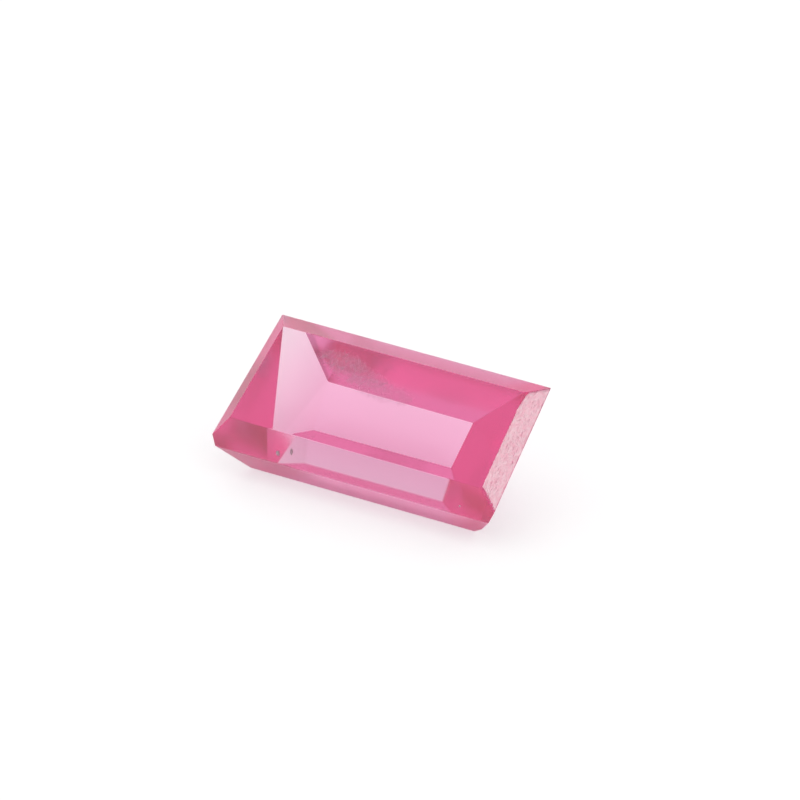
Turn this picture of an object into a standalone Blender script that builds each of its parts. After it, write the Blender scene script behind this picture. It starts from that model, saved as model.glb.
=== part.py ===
"""A cut and polished ruby: a rectangular step cut, 8 mm long, in one piece.

The stone is shaped the way a gem cutter shapes it. A block of rough is ground flat against one facet
plane after another, until the table, the crown, the girdle and the pavilion are all there. The facets
are laid out with the table up and the long way along X. The stone is then turned to lie as it does on
a sheet of paper, on its long front pavilion facet, with the table leaning towards -Y.
"""

from math import cos, radians, sin, tan
from typing import NamedTuple

import bmesh
import bpy
from mathutils import Matrix, Vector

MM = 0.001

# Outline of the stone at its widest, the girdle
LENGTH = 8.00 * MM
WIDTH = 3.80 * MM

# Crown, above the girdle
CROWN_HEIGHT = 0.36 * MM
CROWN_SLOPE = 40.5
BACK_CROWN_SLOPE = 39.2

# The front facets of crown and pavilion meet lower than the rest of the girdle
FRONT_GIRDLE_DROP = 0.18 * MM

# Hand cutting: both ends stand slightly askew to the long sides
RIGHT_SKEW = 1.0
LEFT_SKEW = -4.9

# The stone rests on the lowest and widest facet of its front
REST_SLOPE = 38.4

# Cuts sort the block's points to this distance
CUT_ACCURACY = 1e-9

RUBY_PINK = (0.80, 0.13, 0.34, 1.0)
RUBY_IOR = 1.77
POLISH_ROUGHNESS = 0.03


class Tier(NamedTuple):
    """A row of the pavilion: how deep under the girdle it starts, its slope, and its turn off the side."""

    depth: float
    slope: float
    skew: float = 0.0


# Pavilion, in tiers from the girdle down to the culet
FRONT_TIERS = (Tier(FRONT_GIRDLE_DROP, 88.0), Tier(1.09 * MM, REST_SLOPE))
BACK_TIERS = (Tier(0.0, 81.8), Tier(0.73 * MM, 52.7))
RIGHT_TIERS = (Tier(0.0, 55.6), Tier(0.60 * MM, 42.8, 2.3))
LEFT_TIERS = (Tier(0.0, 53.7), Tier(1.10 * MM, 49.9, -3.1), Tier(1.90 * MM, 28.6, 3.2))

# Culet: a wide flat at the bottom, parallel to the table within a few degrees
CULET = Tier(2.12 * MM, 5.0, 3.8)


class Wear(NamedTuple):
    """A small flat worn on a corner: the side it faces, its slope and how much it takes off there."""

    side: float
    slope: float
    depth: float


# The table's back right corner is worn round
CORNER_WEAR = (Wear(5.0, 29.0, 0.014 * MM), Wear(20.0, 26.0, 0.018 * MM))


class Facet(NamedTuple):
    """A flat of the stone: a point on it, the side it faces, and its slope from the girdle plane.

    The side is an angle in degrees about Z, with 0 at the right end and 90 at the back. A positive
    slope faces up, as on the crown, and a negative one faces down, as on the pavilion.
    """

    point: tuple
    side: float
    slope: float

    def normal(self):
        """The direction straight out of the facet."""
        level = sin(radians(abs(self.slope)))
        upright = cos(radians(self.slope)) * (1 if self.slope >= 0 else -1)
        return Vector((level * cos(radians(self.side)), level * sin(radians(self.side)), upright))


RIGHT, BACK, LEFT, FRONT = RIGHT_SKEW, 90.0, 180.0 + LEFT_SKEW, 270.0
RIGHT_EDGE = (LENGTH / 2, 0, 0)
LEFT_EDGE = (-LENGTH / 2, 0, 0)
BACK_EDGE = (0, WIDTH / 2, 0)
FRONT_EDGE = (0, -WIDTH / 2, -FRONT_GIRDLE_DROP)


def crown_facets():
    """The table and the four sloping facets around it."""
    return [
        Facet((0, 0, CROWN_HEIGHT), 0, 0),
        Facet(FRONT_EDGE, FRONT, CROWN_SLOPE),
        Facet(BACK_EDGE, BACK, BACK_CROWN_SLOPE),
        Facet(RIGHT_EDGE, RIGHT, CROWN_SLOPE),
        Facet(LEFT_EDGE, LEFT, CROWN_SLOPE),
    ]


def worn_corner_facets():
    """The small flats that round the table's back right corner."""
    across = CROWN_HEIGHT / tan(radians(BACK_CROWN_SLOPE))
    back = WIDTH / 2 - across
    skew_shift = back * tan(radians(RIGHT_SKEW))
    along = CROWN_HEIGHT / tan(radians(CROWN_SLOPE)) / cos(radians(RIGHT_SKEW))
    corner = Vector((LENGTH / 2 - along - skew_shift, back, CROWN_HEIGHT))
    facets = []
    for wear in CORNER_WEAR:
        flat = Facet(tuple(corner), wear.side, wear.slope)
        facets.append(flat._replace(point=tuple(corner - wear.depth * flat.normal())))
    return facets


def pavilion_facets(edge, side, tiers):
    """One side of the pavilion: each tier starts in the side's middle, where the one above it ends."""
    point, facets = Vector(edge), []
    for above, tier in zip(tiers[:1] + tiers, tiers):
        drop = tier.depth - above.depth
        run = drop / tan(radians(above.slope))
        point = point - Vector((run * cos(radians(side)), run * sin(radians(side)), drop))
        facets.append(Facet(tuple(point), side + tier.skew, -tier.slope))
    return facets


def culet_facet():
    """The flat at the bottom of the pavilion, leaning a little towards the back."""
    return Facet((0, 0, -CULET.depth), BACK + CULET.skew, -CULET.slope)


def all_facets():
    """Every facet plane of the stone, crown first."""
    facets = crown_facets()
    facets += pavilion_facets(FRONT_EDGE, FRONT, FRONT_TIERS)
    facets += pavilion_facets(BACK_EDGE, BACK, BACK_TIERS)
    facets += pavilion_facets(RIGHT_EDGE, RIGHT, RIGHT_TIERS)
    facets += pavilion_facets(LEFT_EDGE, LEFT, LEFT_TIERS)
    return facets + [culet_facet()] + worn_corner_facets()


def rough_block():
    """A block a little larger than the stone, which the facets are ground into."""
    block = bmesh.new()
    bmesh.ops.create_cube(block, size=2.0 * LENGTH)
    return block


def grind(block, facet):
    """Take away all that stands outside the facet's plane, and close the flat that is left."""
    cut = bmesh.ops.bisect_plane(
        block,
        geom=block.verts[:] + block.edges[:] + block.faces[:],
        dist=CUT_ACCURACY,
        plane_co=Vector(facet.point),
        plane_no=facet.normal(),
        clear_outer=True,
    )
    rim = [item for item in cut["geom_cut"] if isinstance(item, bmesh.types.BMEdge)]
    bmesh.ops.contextual_create(block, geom=rim)


def cut_stone():
    """The finished stone as a mesh, table up, with its girdle in the plane of X and Y."""
    block = rough_block()
    for facet in all_facets():
        grind(block, facet)
    bmesh.ops.recalc_face_normals(block, faces=block.faces[:])
    mesh = bpy.data.meshes.new("ruby")
    block.to_mesh(mesh)
    block.free()
    return mesh


def ruby_material():
    """Clear pink corundum with a good polish."""
    material = bpy.data.materials.new("ruby")
    material.use_nodes = True
    shader = material.node_tree.nodes["Principled BSDF"]
    shader.inputs["Base Color"].default_value = RUBY_PINK
    shader.inputs["Metallic"].default_value = 0.0
    shader.inputs["Roughness"].default_value = POLISH_ROUGHNESS
    shader.inputs["IOR"].default_value = RUBY_IOR
    shader.inputs["Transmission Weight"].default_value = 1.0
    return material


def lie_on_rest_facet(stone):
    """Turn the stone onto its front main facet, centred over the origin and standing on z = 0."""
    turn = Matrix.Rotation(radians(REST_SLOPE), 3, "X")
    corners = [turn @ vertex.co for vertex in stone.data.vertices]
    low = [min(corner[axis] for corner in corners) for axis in range(3)]
    high = [max(corner[axis] for corner in corners) for axis in range(3)]
    stone.rotation_euler.x = radians(REST_SLOPE)
    stone.location = (-(low[0] + high[0]) / 2, -(low[1] + high[1]) / 2, -low[2])


def clear_scene():
    """Start from an empty scene."""
    for item in list(bpy.data.objects):
        bpy.data.objects.remove(item, do_unlink=True)


def main():
    clear_scene()
    stone = bpy.data.objects.new("ruby", cut_stone())
    stone.data.materials.append(ruby_material())
    bpy.context.scene.collection.objects.link(stone)
    lie_on_rest_facet(stone)


main()
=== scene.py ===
"""A cut ruby lying on white paper: its polish, colour and inclusions, the light and the camera."""

import logging
from dataclasses import dataclass
from enum import Enum
from math import cos, radians, sin, tau
from random import Random

import bmesh
import bpy
from mathutils import Matrix, Vector


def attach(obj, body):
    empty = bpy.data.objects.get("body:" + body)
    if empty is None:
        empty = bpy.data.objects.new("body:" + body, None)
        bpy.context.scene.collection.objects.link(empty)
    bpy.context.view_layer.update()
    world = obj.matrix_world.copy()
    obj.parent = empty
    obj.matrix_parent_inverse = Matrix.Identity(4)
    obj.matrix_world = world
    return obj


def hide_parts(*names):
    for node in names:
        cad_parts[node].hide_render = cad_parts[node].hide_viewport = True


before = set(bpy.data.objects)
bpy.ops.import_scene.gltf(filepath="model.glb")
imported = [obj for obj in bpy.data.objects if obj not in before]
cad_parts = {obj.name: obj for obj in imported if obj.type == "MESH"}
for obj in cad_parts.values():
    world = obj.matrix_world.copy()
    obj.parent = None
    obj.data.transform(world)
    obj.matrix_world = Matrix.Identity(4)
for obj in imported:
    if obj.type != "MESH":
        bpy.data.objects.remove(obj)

LOG = logging.getLogger("ruby")

MM = 0.001
WHITE = (1.0, 1.0, 1.0, 1.0)
BODY = "root"
STONE_NODE = "ruby"
PICTURE_SIDE = 800
SENSOR_WIDTH = 36.0
POLISH_ATTRIBUTE = "polish"
VEIL_SIDES = 24

Triple = tuple[float, float, float]
Socket = bpy.types.NodeSocket
Outputs = bpy.types.NodeOutputs
Value = float | Socket


class Polish(Enum):
    """How a surface of the stone was left: the value is its roughness."""

    BRIGHT = 0.03
    SATIN = 0.12
    SMOOTHED = 0.28
    DULL = 0.5


class Lines(Enum):
    """How many lines the needles of a sheet follow, with equal angles between the lines."""

    ONE = 1
    THREE = 3


def towards(side: float, height: float) -> Vector:
    """Point to a side and a height.

    Args:
        side: The angle about Z from +X, in degrees.
        height: The angle above the level, in degrees.

    Returns:
        The direction.
    """
    side, height = radians(side), radians(height)
    return Vector((cos(side) * cos(height), sin(side) * cos(height), sin(height)))


@dataclass(frozen=True)
class Lie:
    """How the stone lies: its lean about X from the upright, and the middle of its girdle."""

    lean: float = 38.4
    centre: Triple = (0.0577 * MM, -0.2575 * MM, 2.0147 * MM)

    def turned(self, way: Vector) -> Vector:
        """Where a direction of the upright stone points."""
        return Matrix.Rotation(radians(self.lean), 3, "X") @ way

    def placed(self, spot: Vector) -> Vector:
        """Where a spot of the upright stone is, with both in metres."""
        return self.turned(spot) + Vector(self.centre)


@dataclass(frozen=True)
class Facet:
    """A flat of the upright stone: the side it faces, and its slope, negative on the pavilion."""

    side: float
    slope: float

    def normal(self) -> Vector:
        """Point straight out of the facet of the upright stone.

        Returns:
            The direction.
        """
        side = radians(self.side)
        level = sin(radians(abs(self.slope)))
        upright = cos(radians(self.slope)) * (1 if self.slope >= 0 else -1)
        return Vector((level * cos(side), level * sin(side), upright))


TABLE = Facet(0.0, 0.0)
RIGHT_CROWN = Facet(1.0, 40.5)
LEFT_CROWN = Facet(175.1, 40.5)
BACK_CROWN = Facet(90.0, 39.2)
FRONT_GIRDLE = Facet(270.0, -88.0)
BACK_GIRDLE = Facet(90.0, -81.8)


def new_material(name: str) -> tuple[bpy.types.Material, bpy.types.Node]:
    """Start a material.

    Args:
        name: The material's name.

    Returns:
        The material and its shader.
    """
    made = bpy.data.materials.new(name)
    made.use_nodes = True
    return made, made.node_tree.nodes["Principled BSDF"]


@dataclass(frozen=True)
class RubyFinish:
    """Clear pink corundum: how it bends light and how it swallows it."""

    ior: float = 1.77
    loss_per_m: float = 288.0
    kept_colour: Triple = (0.95, 0.0, 0.52)

    def material(self) -> bpy.types.Material:
        """Build the see-through material.

        Returns:
            The material, with plain transmission, IOR and absorption values.
        """
        made, shader = new_material("ruby_polished")
        nodes, links = made.node_tree.nodes, made.node_tree.links
        shader.inputs["Base Color"].default_value = WHITE
        shader.inputs["IOR"].default_value = self.ior
        shader.inputs["Transmission Weight"].default_value = 1.0
        polish = nodes.new("ShaderNodeAttribute")
        polish.attribute_name = POLISH_ATTRIBUTE
        links.new(polish.outputs["Fac"], shader.inputs["Roughness"])
        loss = nodes.new("ShaderNodeVolumeAbsorption")
        loss.inputs["Color"].default_value = (*self.kept_colour, 1.0)
        loss.inputs["Density"].default_value = self.loss_per_m
        links.new(loss.outputs["Volume"], nodes["Material Output"].inputs["Volume"])
        return made


@dataclass(frozen=True)
class GrainFinish:
    """A mineral grain, a bruise, or the white bead of a painted glint in the stone, mottled by
    noise between two colours.
    """

    name: str
    dark: Triple
    pale: Triple
    roughness: float
    mottle_scale: float = 9000.0
    noise_at_dark: float = 0.35
    noise_at_pale: float = 0.65

    def material(self) -> bpy.types.Material:
        """Build the opaque, mottled material.

        Returns:
            The material, reading Object coordinates.
        """
        made, shader = new_material(self.name)
        nodes, links = made.node_tree.nodes, made.node_tree.links
        shader.inputs["Roughness"].default_value = self.roughness
        place = nodes.new("ShaderNodeTexCoord")
        noise = nodes.new("ShaderNodeTexNoise")
        noise.inputs["Scale"].default_value = self.mottle_scale
        ramp = nodes.new("ShaderNodeValToRGB")
        first, last = ramp.color_ramp.elements
        first.position, first.color = self.noise_at_dark, (*self.dark, 1.0)
        last.position, last.color = self.noise_at_pale, (*self.pale, 1.0)
        links.new(place.outputs["Object"], noise.inputs["Vector"])
        links.new(noise.outputs["Fac"], ramp.inputs["Fac"])
        links.new(ramp.outputs["Color"], shader.inputs["Base Color"])
        return made


SILK = GrainFinish("silk", (0.95, 0.80, 0.86), (1.0, 0.94, 0.97), 0.45)
BRUISE = GrainFinish("bruised_facet", (1.0, 0.64, 0.73), (1.0, 0.75, 0.81), 0.6)
DARK_GRAIN = GrainFinish("dark_grain", (0.55, 0.36, 0.42), (0.80, 0.62, 0.68), 0.5)
# Painted highlight: white colour for a bead that stands in for a glint on the front crown.
PAINTED_GLINT = GrainFinish("painted_glint", (0.95, 0.85, 0.90), (1.0, 1.0, 1.0), 0.25)


@dataclass(frozen=True)
class PaperFinish:
    """Matt white paper with light coming through from below."""

    white: float = 0.66
    glow: float = 0.475
    roughness: float = 0.9
    shine: float = 0.1

    def material(self) -> bpy.types.Material:
        """Build the paper's material.

        Returns:
            The material.
        """
        made, shader = new_material("paper")
        shader.inputs["Base Color"].default_value = (self.white, self.white, self.white, 1.0)
        shader.inputs["Roughness"].default_value = self.roughness
        shader.inputs["Specular IOR Level"].default_value = self.shine
        shader.inputs["Emission Color"].default_value = WHITE
        shader.inputs["Emission Strength"].default_value = self.glow
        return made


def add_piece(name: str, mesh: bpy.types.Mesh) -> bpy.types.Object:
    """Put a mesh in the scene as a piece of the stone.

    Args:
        name: The piece's name.
        mesh: Its mesh, already in its place.

    Returns:
        The piece, riding on the stone's body.
    """
    piece = bpy.data.objects.new(name, mesh)
    bpy.context.scene.collection.objects.link(piece)
    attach(piece, BODY)
    return piece


@dataclass
class PolishedStone:
    """The stone's outside: the flat facets of the solid, with their edges a hair worn."""

    finish: RubyFinish
    lie: Lie
    polished: tuple[tuple[Facet, Polish], ...] = (
        (TABLE, Polish.BRIGHT),
        (LEFT_CROWN, Polish.SMOOTHED),
        (BACK_CROWN, Polish.SMOOTHED),
        (RIGHT_CROWN, Polish.DULL),
        (FRONT_GIRDLE, Polish.DULL),
        (BACK_GIRDLE, Polish.DULL),
    )
    weld: float = 0.001 * MM
    flat_within: float = 0.5
    edge_wear: float = 0.008 * MM
    wear_steps: int = 2
    wear_roundness: float = 0.5
    same_facing: float = 0.998

    def solid(self) -> bmesh.types.BMesh:
        """Copy the solid, and join its loose triangles into facets.

        Returns:
            The facets.
        """
        mesh = bmesh.new()
        mesh.from_mesh(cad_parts[STONE_NODE].data)
        bmesh.ops.remove_doubles(mesh, verts=mesh.verts[:], dist=self.weld)
        bmesh.ops.dissolve_limit(
            mesh,
            angle_limit=radians(self.flat_within),
            verts=mesh.verts[:],
            edges=mesh.edges[:],
        )
        bmesh.ops.recalc_face_normals(mesh, faces=mesh.faces[:])
        return mesh

    def corners(self, facet: Facet) -> list[Vector]:
        """Find the corners of one of the solid's facets.

        Args:
            facet: Which facet it is.

        Returns:
            The corners, in order around the facet.
        """
        mesh = self.solid()
        facing = self.lie.turned(facet.normal())
        face = max(mesh.faces, key=lambda flat: flat.normal.dot(facing))
        found = [vertex.co.copy() for vertex in face.verts]
        mesh.free()
        return found

    def build(self) -> bpy.types.Object:
        """Wear the facets' edges, and polish them.

        Returns:
            The stone's visible piece.
        """
        mesh = self.solid()
        facets = len(mesh.faces)
        bmesh.ops.bevel(
            mesh,
            geom=mesh.edges[:],
            offset=self.edge_wear,
            segments=self.wear_steps,
            profile=self.wear_roundness,
            affect="EDGES",
        )
        self.polish(mesh)
        data = bpy.data.meshes.new("ruby_facets")
        mesh.to_mesh(data)
        mesh.free()
        data.materials.append(self.finish.material())
        stone = add_piece("ruby_facets", data)
        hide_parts(STONE_NODE)
        LOG.info("stone: %d facets, %d faces with the worn edges", facets, len(data.polygons))
        return stone

    def polish(self, mesh: bmesh.types.BMesh) -> None:
        """Write each face's roughness into the mesh.

        Args:
            mesh: The stone, with its edges worn.
        """
        layer = mesh.faces.layers.float.new(POLISH_ATTRIBUTE)
        for face in mesh.faces:
            kept = Polish.SATIN
            for facet, polish in self.polished:
                if face.normal.dot(self.lie.turned(facet.normal())) > self.same_facing:
                    kept = polish
            face[layer] = kept.value


class TreeMaker:
    """Adds nodes to a tree and joins them."""

    def __init__(self, tree: bpy.types.NodeTree) -> None:
        """Keep the tree."""
        self.tree = tree

    def node(self, kind: str, **choices: str) -> bpy.types.Node:
        """Add a node.

        Args:
            kind: The node's type.
            choices: Its settings by name.

        Returns:
            The node.
        """
        made = self.tree.nodes.new(kind)
        for name, choice in choices.items():
            setattr(made, name, choice)
        return made

    def join(self, value: Value, socket: Socket) -> None:
        """Link a socket to an input, or set the input to a number.

        Args:
            value: The socket or the number.
            socket: The input.
        """
        if isinstance(value, Socket):
            self.tree.links.new(value, socket)
        else:
            socket.default_value = value

    def math(self, operation: str, first: Value, second: Value) -> Socket:
        """Reckon with two sockets or numbers.

        Args:
            operation: What to do with them.
            first: The first socket or number.
            second: The second.

        Returns:
            The result's socket.
        """
        made = self.node("ShaderNodeMath", operation=operation)
        self.join(first, made.inputs[0])
        self.join(second, made.inputs[1])
        return made.outputs[0]

    def between(self, low: Value, high: Value, seed: Socket) -> Socket:
        """Draw a number for each point.

        Args:
            low: The least it may be.
            high: The most it may be.
            seed: The draw's seed.

        Returns:
            The socket with the numbers.
        """
        made = self.node("FunctionNodeRandomValue", data_type="FLOAT")
        self.join(low, made.inputs[2])
        self.join(high, made.inputs[3])
        self.join(seed, made.inputs["Seed"])
        return made.outputs[1]

    def either_way(self, reach: Socket, seed: Socket) -> Socket:
        """Draw a number for each point, from minus a reach to plus the reach.

        Args:
            reach: The socket with the reach.
            seed: The draw's seed.

        Returns:
            The socket with the numbers.
        """
        return self.between(self.math("MULTIPLY", reach, -1.0), reach, seed)


@dataclass(frozen=True)
class NeedleTree:
    """The nodes that strew needles over a flat patch."""

    name: str = "needles"
    sides: int = 4
    tip: float = 0.3
    shortest: float = 0.35
    line_turn: float = 60.0
    just_under_one: float = 0.999
    draws: int = 4

    def tree(self) -> bpy.types.NodeTree:
        """Find the nodes where they are built already, or build them.

        Returns:
            The tree, with its sizes, seed and material as named inputs.
        """
        if self.name in bpy.data.node_groups:
            return bpy.data.node_groups[self.name]
        tree = bpy.data.node_groups.new(self.name, "GeometryNodeTree")
        self.name_sockets(tree)
        make = TreeMaker(tree)
        given = make.node("NodeGroupInput").outputs
        seeds = [make.math("ADD", given["Seed"], draw + 1) for draw in range(self.draws)]
        needle = self.needle(make, given)
        spots = self.spots(make, given, seeds[0])
        strewn = make.node("GeometryNodeInstanceOnPoints")
        make.join(spots, strewn.inputs["Points"])
        make.join(needle, strewn.inputs["Instance"])
        make.join(self.turn(make, given, seeds[1], seeds[2]), strewn.inputs["Rotation"])
        make.join(make.between(self.shortest, 1.0, seeds[3]), strewn.inputs["Scale"])
        real = make.node("GeometryNodeRealizeInstances")
        make.join(strewn.outputs["Instances"], real.inputs["Geometry"])
        dressed = make.node("GeometryNodeSetMaterial")
        make.join(real.outputs["Geometry"], dressed.inputs["Geometry"])
        make.join(given["Material"], dressed.inputs["Material"])
        make.join(dressed.outputs["Geometry"], make.node("NodeGroupOutput").inputs["Needles"])
        return tree

    def name_sockets(self, tree: bpy.types.NodeTree) -> None:
        """Give the tree its inputs and its output.

        Args:
            tree: The tree, still empty.
        """
        numbers = ("Density", "Length", "Radius", "Spread", "Thickness")
        kinds = {"Patch": "NodeSocketGeometry"}
        kinds.update(dict.fromkeys(numbers, "NodeSocketFloat"))
        kinds.update(dict.fromkeys(("Last Line", "Seed"), "NodeSocketInt"))
        kinds["Material"] = "NodeSocketMaterial"
        for name, kind in kinds.items():
            tree.interface.new_socket(name, in_out="INPUT", socket_type=kind)
        tree.interface.new_socket("Needles", in_out="OUTPUT", socket_type="NodeSocketGeometry")

    def needle(self, make: TreeMaker, given: Outputs) -> Socket:
        """Build one needle: a slim cone without its point, centred along Z.

        Args:
            make: What adds the nodes.
            given: The tree's inputs.

        Returns:
            The needle's socket.
        """
        cone = make.node("GeometryNodeMeshCone")
        cone.inputs["Vertices"].default_value = self.sides
        make.join(given["Length"], cone.inputs["Depth"])
        make.join(given["Radius"], cone.inputs["Radius Bottom"])
        make.join(make.math("MULTIPLY", given["Radius"], self.tip), cone.inputs["Radius Top"])
        half_back = make.node("ShaderNodeCombineXYZ")
        make.join(make.math("MULTIPLY", given["Length"], -0.5), half_back.inputs["Z"])
        needle = make.node("GeometryNodeTransform")
        make.join(cone.outputs["Mesh"], needle.inputs["Geometry"])
        make.join(half_back.outputs["Vector"], needle.inputs["Translation"])
        return needle.outputs["Geometry"]

    def spots(self, make: TreeMaker, given: Outputs, seed: Socket) -> Socket:
        """Strew the needles' spots over the patch and through its thickness.

        Args:
            make: What adds the nodes.
            given: The tree's inputs.
            seed: The seed of the depths.

        Returns:
            The spots' socket.
        """
        points = make.node("GeometryNodeDistributePointsOnFaces")
        make.join(given["Patch"], points.inputs["Mesh"])
        make.join(given["Density"], points.inputs["Density"])
        make.join(given["Seed"], points.inputs["Seed"])
        deep = make.node("ShaderNodeCombineXYZ")
        half = make.math("MULTIPLY", given["Thickness"], 0.5)
        make.join(make.either_way(half, seed), deep.inputs["Z"])
        spots = make.node("GeometryNodeSetPosition")
        make.join(points.outputs["Points"], spots.inputs["Geometry"])
        make.join(deep.outputs["Vector"], spots.inputs["Offset"])
        return spots.outputs["Geometry"]

    def turn(
        self, make: TreeMaker, given: Outputs, line_seed: Socket, stray_seed: Socket
    ) -> Socket:
        """Lay each needle flat along one of the lines, give or take the spread.

        Args:
            make: What adds the nodes.
            given: The tree's inputs.
            line_seed: The seed of the choice of line.
            stray_seed: The seed of the spread.

        Returns:
            The socket with the turns.
        """
        last = make.math("ADD", given["Last Line"], self.just_under_one)
        line = make.math("FLOOR", make.between(0.0, last, line_seed), 0.0)
        stray = make.either_way(given["Spread"], stray_seed)
        turn = make.node("ShaderNodeCombineXYZ")
        make.join(radians(90.0), turn.inputs["Y"])
        along_line = make.math("MULTIPLY", line, radians(self.line_turn))
        make.join(make.math("ADD", along_line, stray), turn.inputs["Z"])
        return turn.outputs["Vector"]


@dataclass
class NeedleSheet:
    """Fine straight needles strewn over a flat patch: a veil of silk, or a facet's grind lines."""

    name: str
    finish: GrainFinish
    outline: list[tuple[float, float]]
    centre: Vector
    facing: Vector
    along: Vector
    count: int
    needle_length: float
    needle_radius: float
    lines: Lines
    spread: float
    thickness: float
    seed: int

    def build(self) -> bpy.types.Object:
        """Strew the needles, and put the patch in its place.

        Returns:
            The needles as one plain mesh.
        """
        patch = bpy.data.meshes.new(self.name)
        rim = [(x, y, 0.0) for x, y in self.outline]
        patch.from_pydata(rim, [], [list(range(len(rim)))])
        mesh = self.strewn(patch)
        bpy.data.meshes.remove(patch)
        mesh.transform(self.place())
        LOG.info("%s: %d needle faces", self.name, len(mesh.polygons))
        return add_piece(self.name, mesh)

    def strewn(self, patch: bpy.types.Mesh) -> bpy.types.Mesh:
        """Strew the needles over the patch.

        Args:
            patch: The flat patch, in its own plane.

        Returns:
            The needles' mesh, in the same plane.
        """
        host = bpy.data.objects.new("patch", patch)
        bpy.context.scene.collection.objects.link(host)
        modifier = host.modifiers.new("needles", "NODES")
        modifier.node_group = NeedleTree().tree()
        values = {
            "Density": self.count / patch.polygons[0].area,
            "Length": self.needle_length,
            "Radius": self.needle_radius,
            "Last Line": self.lines.value - 1,
            "Spread": radians(self.spread),
            "Thickness": self.thickness,
            "Seed": self.seed,
            "Material": self.finish.material(),
        }
        for socket in modifier.node_group.interface.items_tree:
            if socket.in_out == "INPUT" and socket.name in values:
                modifier[socket.identifier] = values[socket.name]
        ready = host.evaluated_get(bpy.context.evaluated_depsgraph_get())
        mesh = bpy.data.meshes.new_from_object(ready)
        host.modifiers.remove(modifier)
        bpy.data.objects.remove(host)
        return mesh

    def place(self) -> Matrix:
        """Find where the patch's own plane goes.

        Returns:
            The turn and shift from that plane to the stone.
        """
        up = self.facing.normalized()
        right = (self.along - up * self.along.dot(up)).normalized()
        turn = Matrix((right, up.cross(right), up)).transposed().to_4x4()
        return Matrix.Translation(self.centre) @ turn


@dataclass
class Grain:
    """A small knobbly lump with flat sides inside the stone: each dark grain is a crystal grown
    there, and the white bead paints a glint.
    """

    name: str
    finish: GrainFinish
    centre: Vector
    size: Triple
    seed: int
    knobbly: float = 0.25
    splits: int = 2

    def build(self) -> bpy.types.Object:
        """Grow the grain in its place.

        Returns:
            The grain's piece.
        """
        chance = Random(self.seed)
        mesh = bmesh.new()
        bmesh.ops.create_icosphere(mesh, subdivisions=self.splits, radius=1.0)
        for vertex in mesh.verts:
            vertex.co *= 1.0 - self.knobbly * chance.random()
            sides = (side * reach / 2 for side, reach in zip(vertex.co, self.size))
            vertex.co = Vector(sides) + self.centre
        data = bpy.data.meshes.new(self.name)
        mesh.to_mesh(data)
        mesh.free()
        data.materials.append(self.finish.material())
        LOG.info("%s: %d faces", self.name, len(data.polygons))
        return add_piece(self.name, data)


@dataclass(frozen=True)
class Veil:
    """A faint sheet of silk: the spot of the table over its middle, its depth, size and needles.

    Its lengths are in millimetres.
    """

    over: Triple
    depth: float
    half_length: float
    half_width: float
    needles: int


VEILS = (
    Veil((-1.41, 0.97, 0.36), 0.55, 0.70, 0.24, 460),
    Veil((-0.86, 0.75, 0.36), 0.70, 0.85, 0.26, 520),
    Veil((-0.16, 0.50, 0.36), 0.80, 0.95, 0.26, 520),
)


@dataclass
class Inclusions:
    """What grew or broke in the stone, and a painted glint: silk, dark grains, a white bead that
    paints a glint, and a facet's grind lines.

    What is inside lies in the upright stone, straight behind the spot through which it is seen.
    """

    lie: Lie
    behind: Vector = Vector((-0.265, 0.182, -0.947))
    veil_facing: Vector = Vector((0.2, -0.4, 0.9))
    veil_along: Vector = Vector((1.0, -0.12, 0.0))
    across_end: Vector = Vector((0.0, 1.0, 0.0))
    line_margin: float = 0.06

    def under(self, spot: Triple, depth: float) -> Vector:
        """The place at a depth behind a spot of the surface, both in millimetres."""
        return self.lie.placed((Vector(spot) + self.behind * depth) * MM)

    def veils(self) -> None:
        """Grow the faint veils of silk under the table."""
        turns = [tau * step / VEIL_SIDES for step in range(VEIL_SIDES)]
        for index, veil in enumerate(VEILS, start=1):
            long, wide = veil.half_length * MM, veil.half_width * MM
            NeedleSheet(
                name=f"silk_{index}",
                finish=SILK,
                outline=[(long * cos(turn), wide * sin(turn)) for turn in turns],
                centre=self.under(veil.over, veil.depth),
                facing=self.lie.turned(self.veil_facing),
                along=self.lie.turned(self.veil_along),
                count=veil.needles,
                needle_length=0.26 * MM,
                needle_radius=0.0024 * MM,
                lines=Lines.THREE,
                spread=5.0,
                thickness=0.12 * MM,
                seed=10 * index,
            ).build()

    def grains(self) -> None:
        """Grow the two dark grains at the left, and at the right a white bead that paints a glint:
        a painted highlight.
        """
        for name, finish, spot, depth, size, seed in (
            ("dark_grain_1", DARK_GRAIN, (-2.21, -1.67, 0.01), 0.12, (0.14, 0.11, 0.16), 3),
            ("dark_grain_2", DARK_GRAIN, (-1.82, -1.56, 0.11), 0.16, (0.10, 0.11, 0.20), 4),
            # Painted glint: a white bead just under the front crown stands in for a highlight.
            ("painted_glint", PAINTED_GLINT, (3.06, -1.72, -0.03), 0.035, (0.05, 0.05, 0.06), 5),
        ):
            centre = self.under(spot, depth)
            Grain(name, finish, centre, tuple(reach * MM for reach in size), seed).build()

    def grind_lines(self, corners: list[Vector], facet: Facet) -> None:
        """Lay fine pale lines, half sunk, all over the facet that was ground and never polished.

        Args:
            corners: The facet's corners.
            facet: Which facet it is.
        """
        middle = sum(corners, Vector()) / len(corners)
        up = self.lie.turned(facet.normal())
        along = self.lie.turned(self.across_end)
        right = (along - up * along.dot(up)).normalized()
        across = up.cross(right)
        inner = 1.0 - self.line_margin
        from_middle = [spot - middle for spot in corners]
        NeedleSheet(
            name="grind_lines",
            finish=BRUISE,
            outline=[(way.dot(right) * inner, way.dot(across) * inner) for way in from_middle],
            centre=middle,
            facing=up,
            along=along,
            count=7000,
            needle_length=0.14 * MM,
            needle_radius=0.006 * MM,
            lines=Lines.ONE,
            spread=16.0,
            thickness=0.004 * MM,
            seed=50,
        ).build()


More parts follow.
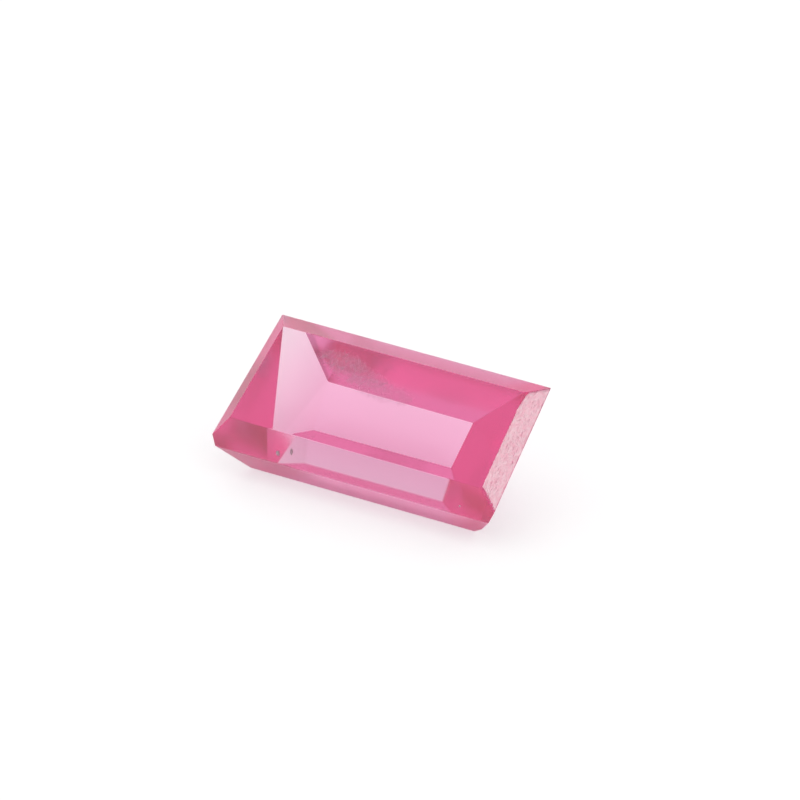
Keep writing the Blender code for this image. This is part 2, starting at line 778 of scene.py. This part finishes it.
@dataclass(frozen=True)
class Glow:
    """Light that eases from one strength to another as the view turns towards a direction.

    The ease starts and ends at two facings, the cosines of the angles from that direction.
    """

    side: float
    height: float
    start_facing: float
    end_facing: float
    start: float
    end: float

    def strength(self, make: TreeMaker, way: Socket) -> Socket:
        """Build the glow.

        Args:
            make: What adds the world's nodes.
            way: The direction looked in.

        Returns:
            The strength's socket.
        """
        facing = make.node("ShaderNodeVectorMath", operation="DOT_PRODUCT")
        facing.inputs[1].default_value = towards(self.side, self.height)
        make.join(way, facing.inputs[0])
        ease = make.node("ShaderNodeMapRange", interpolation_type="SMOOTHSTEP")
        make.join(facing.outputs["Value"], ease.inputs["Value"])
        make.join(self.start_facing, ease.inputs["From Min"])
        make.join(self.end_facing, ease.inputs["From Max"])
        make.join(self.start, ease.inputs["To Min"])
        make.join(self.end, ease.inputs["To Max"])
        return ease.outputs["Result"]


@dataclass(frozen=True)
class SoftRoom:
    """White light from all round, brighter in front, with a window's glow at the back left."""

    all_round: Glow = Glow(298.6, 0.0, -0.313, 0.221, 0.76, 0.90)
    window: Glow = Glow(136.0, 22.0, 0.94, 0.99, 0.0, 1.2)

    def world(self) -> bpy.types.World:
        """Build the room's light by direction.

        Returns:
            The world.
        """
        made = bpy.data.worlds.new("room")
        made.use_nodes = True
        make = TreeMaker(made.node_tree)
        way = make.node("ShaderNodeTexCoord").outputs["Generated"]
        all_round = self.all_round.strength(make, way)
        window = self.window.strength(make, way)
        background = made.node_tree.nodes["Background"]
        background.inputs["Color"].default_value = WHITE
        make.join(make.math("ADD", all_round, window), background.inputs["Strength"])
        return made


@dataclass
class Studio:
    """A sheet of paper, the room's light and the camera."""

    lie: Lie
    azimuth: float = 31.22
    elevation: float = 26.65
    roll: float = -0.28
    distance: float = 203.9 * MM
    frame_width: float = 19.81 * MM
    girdle_pixel: tuple[float, float] = (381.8, 415.6)
    nearest: float = 0.01
    farthest: float = 10.0
    paper_half: float = 150.0 * MM
    paper_give: float = 0.02 * MM
    bounces: int = 24

    def axes(self) -> tuple[Vector, Vector, Vector]:
        """Find the way the camera is turned.

        Returns:
            Its right, its up and its back.
        """
        side, height = radians(self.azimuth), radians(self.elevation)
        back = Vector((sin(side) * cos(height), -cos(side) * cos(height), sin(height)))
        right = Vector((cos(side), sin(side), 0.0))
        up = back.cross(right)
        turn = Matrix.Rotation(radians(-self.roll), 3, back)
        return turn @ right, turn @ up, back

    def camera(self) -> bpy.types.Object:
        """Place the camera at the photograph's viewing angle.

        Returns:
            The camera.
        """
        right, up, back = self.axes()
        per_pixel = self.frame_width / PICTURE_SIDE
        middle = PICTURE_SIDE / 2
        aim = Vector(self.lie.centre)
        aim += right * (middle - self.girdle_pixel[0]) * per_pixel
        aim -= up * (middle - self.girdle_pixel[1]) * per_pixel
        data = bpy.data.cameras.new("camera")
        data.sensor_width = SENSOR_WIDTH
        data.lens = SENSOR_WIDTH * self.distance / self.frame_width
        data.clip_start = self.nearest
        data.clip_end = self.farthest
        camera = bpy.data.objects.new("camera", data)
        pose = Matrix((right, up, back)).transposed().to_4x4()
        pose.translation = aim + back * self.distance
        camera.matrix_world = pose
        bpy.context.scene.collection.objects.link(camera)
        bpy.context.scene.camera = camera
        return camera

    def paper(self, finish: PaperFinish) -> bpy.types.Object:
        """Lay the sheet of paper that the stone lies on.

        Args:
            finish: The paper's look.

        Returns:
            The sheet.
        """
        half, low = self.paper_half, -self.paper_give
        rim = [(-half, -half, low), (half, -half, low), (half, half, low), (-half, half, low)]
        data = bpy.data.meshes.new("paper")
        data.from_pydata(rim, [], [(0, 1, 2, 3)])
        data.materials.append(finish.material())
        sheet = bpy.data.objects.new("paper", data)
        bpy.context.scene.collection.objects.link(sheet)
        return sheet

    def light(self, room: SoftRoom) -> None:
        """Fill the room with soft light, and let it bounce often enough inside the stone.

        Args:
            room: The light by direction.
        """
        scene = bpy.context.scene
        scene.world = room.world()
        scene.view_settings.view_transform = "Standard"
        scene.cycles.max_bounces = self.bounces
        scene.cycles.glossy_bounces = self.bounces
        scene.cycles.transmission_bounces = self.bounces


def main() -> None:
    """Build the stone, the paper, the light and the camera."""
    logging.basicConfig(level=logging.INFO)
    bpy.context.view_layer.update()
    lie = Lie()
    studio = Studio(lie)
    studio.camera()
    studio.paper(PaperFinish())
    studio.light(SoftRoom())
    stone = PolishedStone(RubyFinish(), lie)
    stone.build()
    grown = Inclusions(lie)
    grown.veils()
    grown.grains()
    grown.grind_lines(stone.corners(RIGHT_CROWN), RIGHT_CROWN)


if __name__ == "__main__":
    main()
